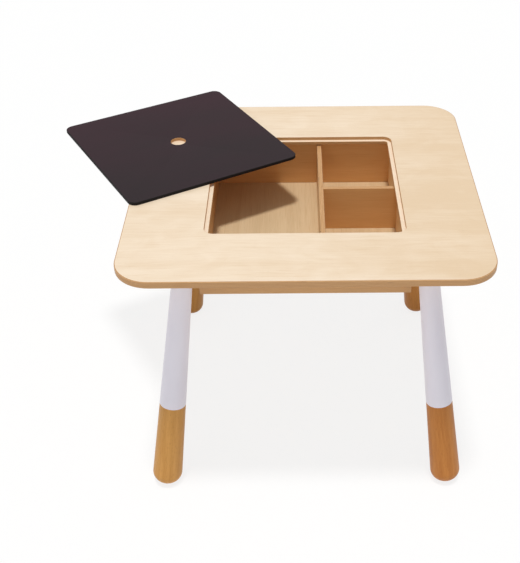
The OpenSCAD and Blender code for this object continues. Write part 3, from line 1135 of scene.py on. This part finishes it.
for number, place in enumerate(LEG_TURNS):
    made = leg(place, number)
    foot = min(vertex.co.z for vertex in made.data.vertices)
    print(made.name, len(made.data.polygons), "faces, foot at", round(foot, 5))

# %% [markdown]
# ## Where the screws are
#
# The blocks and cleats are held by countersunk screws. CAD has a simple one in each
# hole. Its mesh says where the head is, which way the screw points, how long it is and
# how wide its head is, so nothing is placed by eye and nothing is typed in twice.

# %% Where the screws are
END_REACH = 0.0002


def islands(mesh):
    """The separate solids of a mesh, each as an array of points."""
    work = bmesh.new()
    work.from_mesh(mesh)
    bmesh.ops.remove_doubles(work, verts=work.verts, dist=MERGE)
    left = set(work.verts)
    found = []
    while left:
        stack = [left.pop()]
        group = []
        while stack:
            vertex = stack.pop()
            group.append(tuple(vertex.co))
            for edge in vertex.link_edges:
                other = edge.other_vert(vertex)
                if other in left:
                    left.remove(other)
                    stack.append(other)
        found.append(np.array(group))
    work.free()
    return sorted(found, key=lambda points: tuple(points.mean(0).round(5)))


def head_and_aim(points):
    """The middle of a screw's head, the way it points, its length and its head's diameter."""
    low = points.min(0)
    high = points.max(0)
    axis = int(np.argmax(high - low))
    widths = []
    for end in (low[axis], high[axis]):
        near = points[np.abs(points[:, axis] - end) < END_REACH]
        widths.append(np.ptp(near, axis=0).max())
    head_is_low = widths[0] > widths[1]
    head = (low + high) / 2
    head[axis] = low[axis] if head_is_low else high[axis]
    aim = np.zeros(3)
    aim[axis] = 1 if head_is_low else -1
    return head, aim, (high - low)[axis], max(widths)


SCREWS = {
    node: [head_and_aim(points) for points in islands(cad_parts[node].data)]
    for node in ("leg_block_screws", "cleat_screws")
}
for node, places in SCREWS.items():
    print(node, len(places), "screws", round(places[0][2] * 1000, 2), "mm long")

# %% [markdown]
# ## A screw in Geometry Nodes
#
# A countersunk screw is a cone on a shank, with a tip and a cross for the driver. It
# could be three solids pushed into each other, but those leave hidden walls inside. Here
# one disc is drawn out into head, shank and tip, so it stays one closed skin, and two
# thin bars cut the cross. The tree sets one such screw at every vertex it is given.

# %% A screw in Geometry Nodes
AIM = "aim"
HEAD_SIDES = 32
TIP_SHARE = 0.2
TIP_PER_DIAMETER = 1.2
CROSS_WIDTH = 0.14
CROSS_DEPTH = 1.5
SECOND_CUT = 0.94


def draw_out(tree, mesh, top, reach, share):
    """Pulls the top face up and makes it smaller, and gives the mesh and its new top."""
    longer = put(tree, "GeometryNodeExtrudeMesh", {
        "Mesh": mesh,
        "Selection": top,
        "Offset": (0, 0, 1),
        "Offset Scale": reach,
        "Individual": False,
    }, mode="FACES")
    drawn = put(tree, "GeometryNodeScaleElements", {
        "Geometry": longer.outputs["Mesh"],
        "Selection": longer.outputs["Top"],
        "Scale": share,
    }, domain="FACE")
    return drawn.outputs[0], longer.outputs["Top"]


def cut(tree, body, tool):
    """Takes one solid out of another."""
    return put(
        tree, "GeometryNodeMeshBoolean", {"Mesh 1": body, "Mesh 2": tool}, operation="DIFFERENCE"
    ).outputs["Mesh"]


def screw_blank(tree, given, head_r, head_h):
    """A screw without its cross, with its head on the origin and its tip up."""
    shank_r = reckon(tree, "SUBTRACT", head_r, head_h)
    tip_h = reckon(tree, "MULTIPLY", given["Diameter"], TIP_PER_DIAMETER)
    below_head = reckon(tree, "SUBTRACT", given["Length"], head_h)
    disc = put(
        tree, "GeometryNodeMeshCircle", {"Vertices": HEAD_SIDES, "Radius": head_r}, fill_type="NGON"
    ).outputs[0]
    body, top = draw_out(tree, disc, True, head_h, reckon(tree, "DIVIDE", shank_r, head_r))
    body, top = draw_out(tree, body, top, reckon(tree, "SUBTRACT", below_head, tip_h), 1.0)
    body, _ = draw_out(tree, body, top, tip_h, TIP_SHARE)
    # The disc leaves its place when it is drawn out, so a second one closes the head.
    head_face = put(tree, "GeometryNodeFlipFaces", {"Mesh": disc}).outputs[0]
    both = tree.nodes.new("GeometryNodeJoinGeometry")
    tree.links.new(body, both.inputs[0])
    tree.links.new(head_face, both.inputs[0])
    return put(tree, "GeometryNodeMergeByDistance", {
        "Geometry": both.outputs[0],
        "Distance": MERGE,
    }).outputs[0]


def screw_tree():
    """One screw, set at each vertex of a mesh and turned to point along its aim."""
    numbers = dict.fromkeys(("Length", "Diameter", "Head"), "NodeSocketFloat")
    tree, sockets, given = new_tree("wood_screws", numbers, ("Finish",))
    head_r = reckon(tree, "MULTIPLY", given["Head"], 0.5)
    head_h = reckon(tree, "SUBTRACT", head_r, reckon(tree, "MULTIPLY", given["Diameter"], 0.5))
    # Two thin bars cut the driver's cross, the second a little less deep than the first.
    arm = put(tree, "ShaderNodeCombineXYZ", {
        "X": head_r,
        "Y": reckon(tree, "MULTIPLY", given["Head"], CROSS_WIDTH),
        "Z": reckon(tree, "MULTIPLY", head_h, CROSS_DEPTH),
    })
    bar = put(tree, "GeometryNodeMeshCube", {"Size": arm.outputs[0]}).outputs["Mesh"]
    crossed = put(tree, "GeometryNodeTransform", {
        "Geometry": bar,
        "Rotation": (0, 0, QUARTER),
        "Scale": (1, 1, SECOND_CUT),
    }).outputs[0]
    screw = cut(tree, cut(tree, screw_blank(tree, given, head_r, head_h), bar), crossed)
    aim = put(tree, "GeometryNodeInputNamedAttribute", {"Name": AIM}, data_type="FLOAT_VECTOR")
    turned = put(tree, "FunctionNodeAlignRotationToVector", {
        "Vector": aim.outputs["Attribute"],
    }, axis="Z")
    screws = put(tree, "GeometryNodeInstanceOnPoints", {
        "Points": given["Geometry"],
        "Instance": screw,
        "Rotation": turned.outputs[0],
    })
    real = put(tree, "GeometryNodeRealizeInstances", {"Geometry": screws.outputs[0]})
    put(tree, "NodeGroupOutput", {"Geometry": finished(tree, real.outputs[0], given["Finish"])})
    return tree, sockets


SCREW_TREE, SCREW_SOCKETS = screw_tree()
print("Screw inputs:", ", ".join(SCREW_SOCKETS))

# %% [markdown]
# ## Driving the screws
#
# Each size of screw becomes one piece. Its mesh starts as one loose vertex at each head,
# with the way the screw points stored beside it, and the tree puts the screws there.

# %% Driving the screws
def drive(node):
    """All the screws of one size, as one plain mesh."""
    places = SCREWS[node]
    heads = bpy.data.meshes.new(node + "_driven")
    heads.from_pydata([tuple(head) for head, _, _, _ in places], [], [])
    aims = heads.attributes.new(AIM, "FLOAT_VECTOR", "POINT")
    aims.data.foreach_set("vector", np.array([aim for _, aim, _, _ in places], np.float32).ravel())
    piece = new_piece(node + "_driven", heads)
    modifier = piece.modifiers.new("screws", "NODES")
    modifier.node_group = SCREW_TREE
    _, _, length, head = places[0]
    modifier[SCREW_SOCKETS["Length"]] = float(length)
    modifier[SCREW_SOCKETS["Diameter"]] = float(head) / 2
    modifier[SCREW_SOCKETS["Head"]] = float(head)
    modifier[SCREW_SOCKETS["Finish"]] = STEEL
    apply_modifiers(piece)
    shade(piece)
    seat(piece, "table", node)
    return piece


for node in SCREWS:
    made = drive(node)
    print(made.name, len(made.data.polygons), "faces")

# %% [markdown]
# ## What stays as CAD made it
#
# Bolts, inserts and dowels are plain rods and sleeves inside the joints. Their CAD
# meshes are close enough to the real parts, so they only get their finishes.

# %% CAD pieces that stay
KEPT = {"leg_bolts": STEEL, "leg_inserts": BRASS, "box_dowels": DOWEL}

for node, material in KEPT.items():
    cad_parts[node].material_slots[0].material = material
    print(node, "is", material.name)
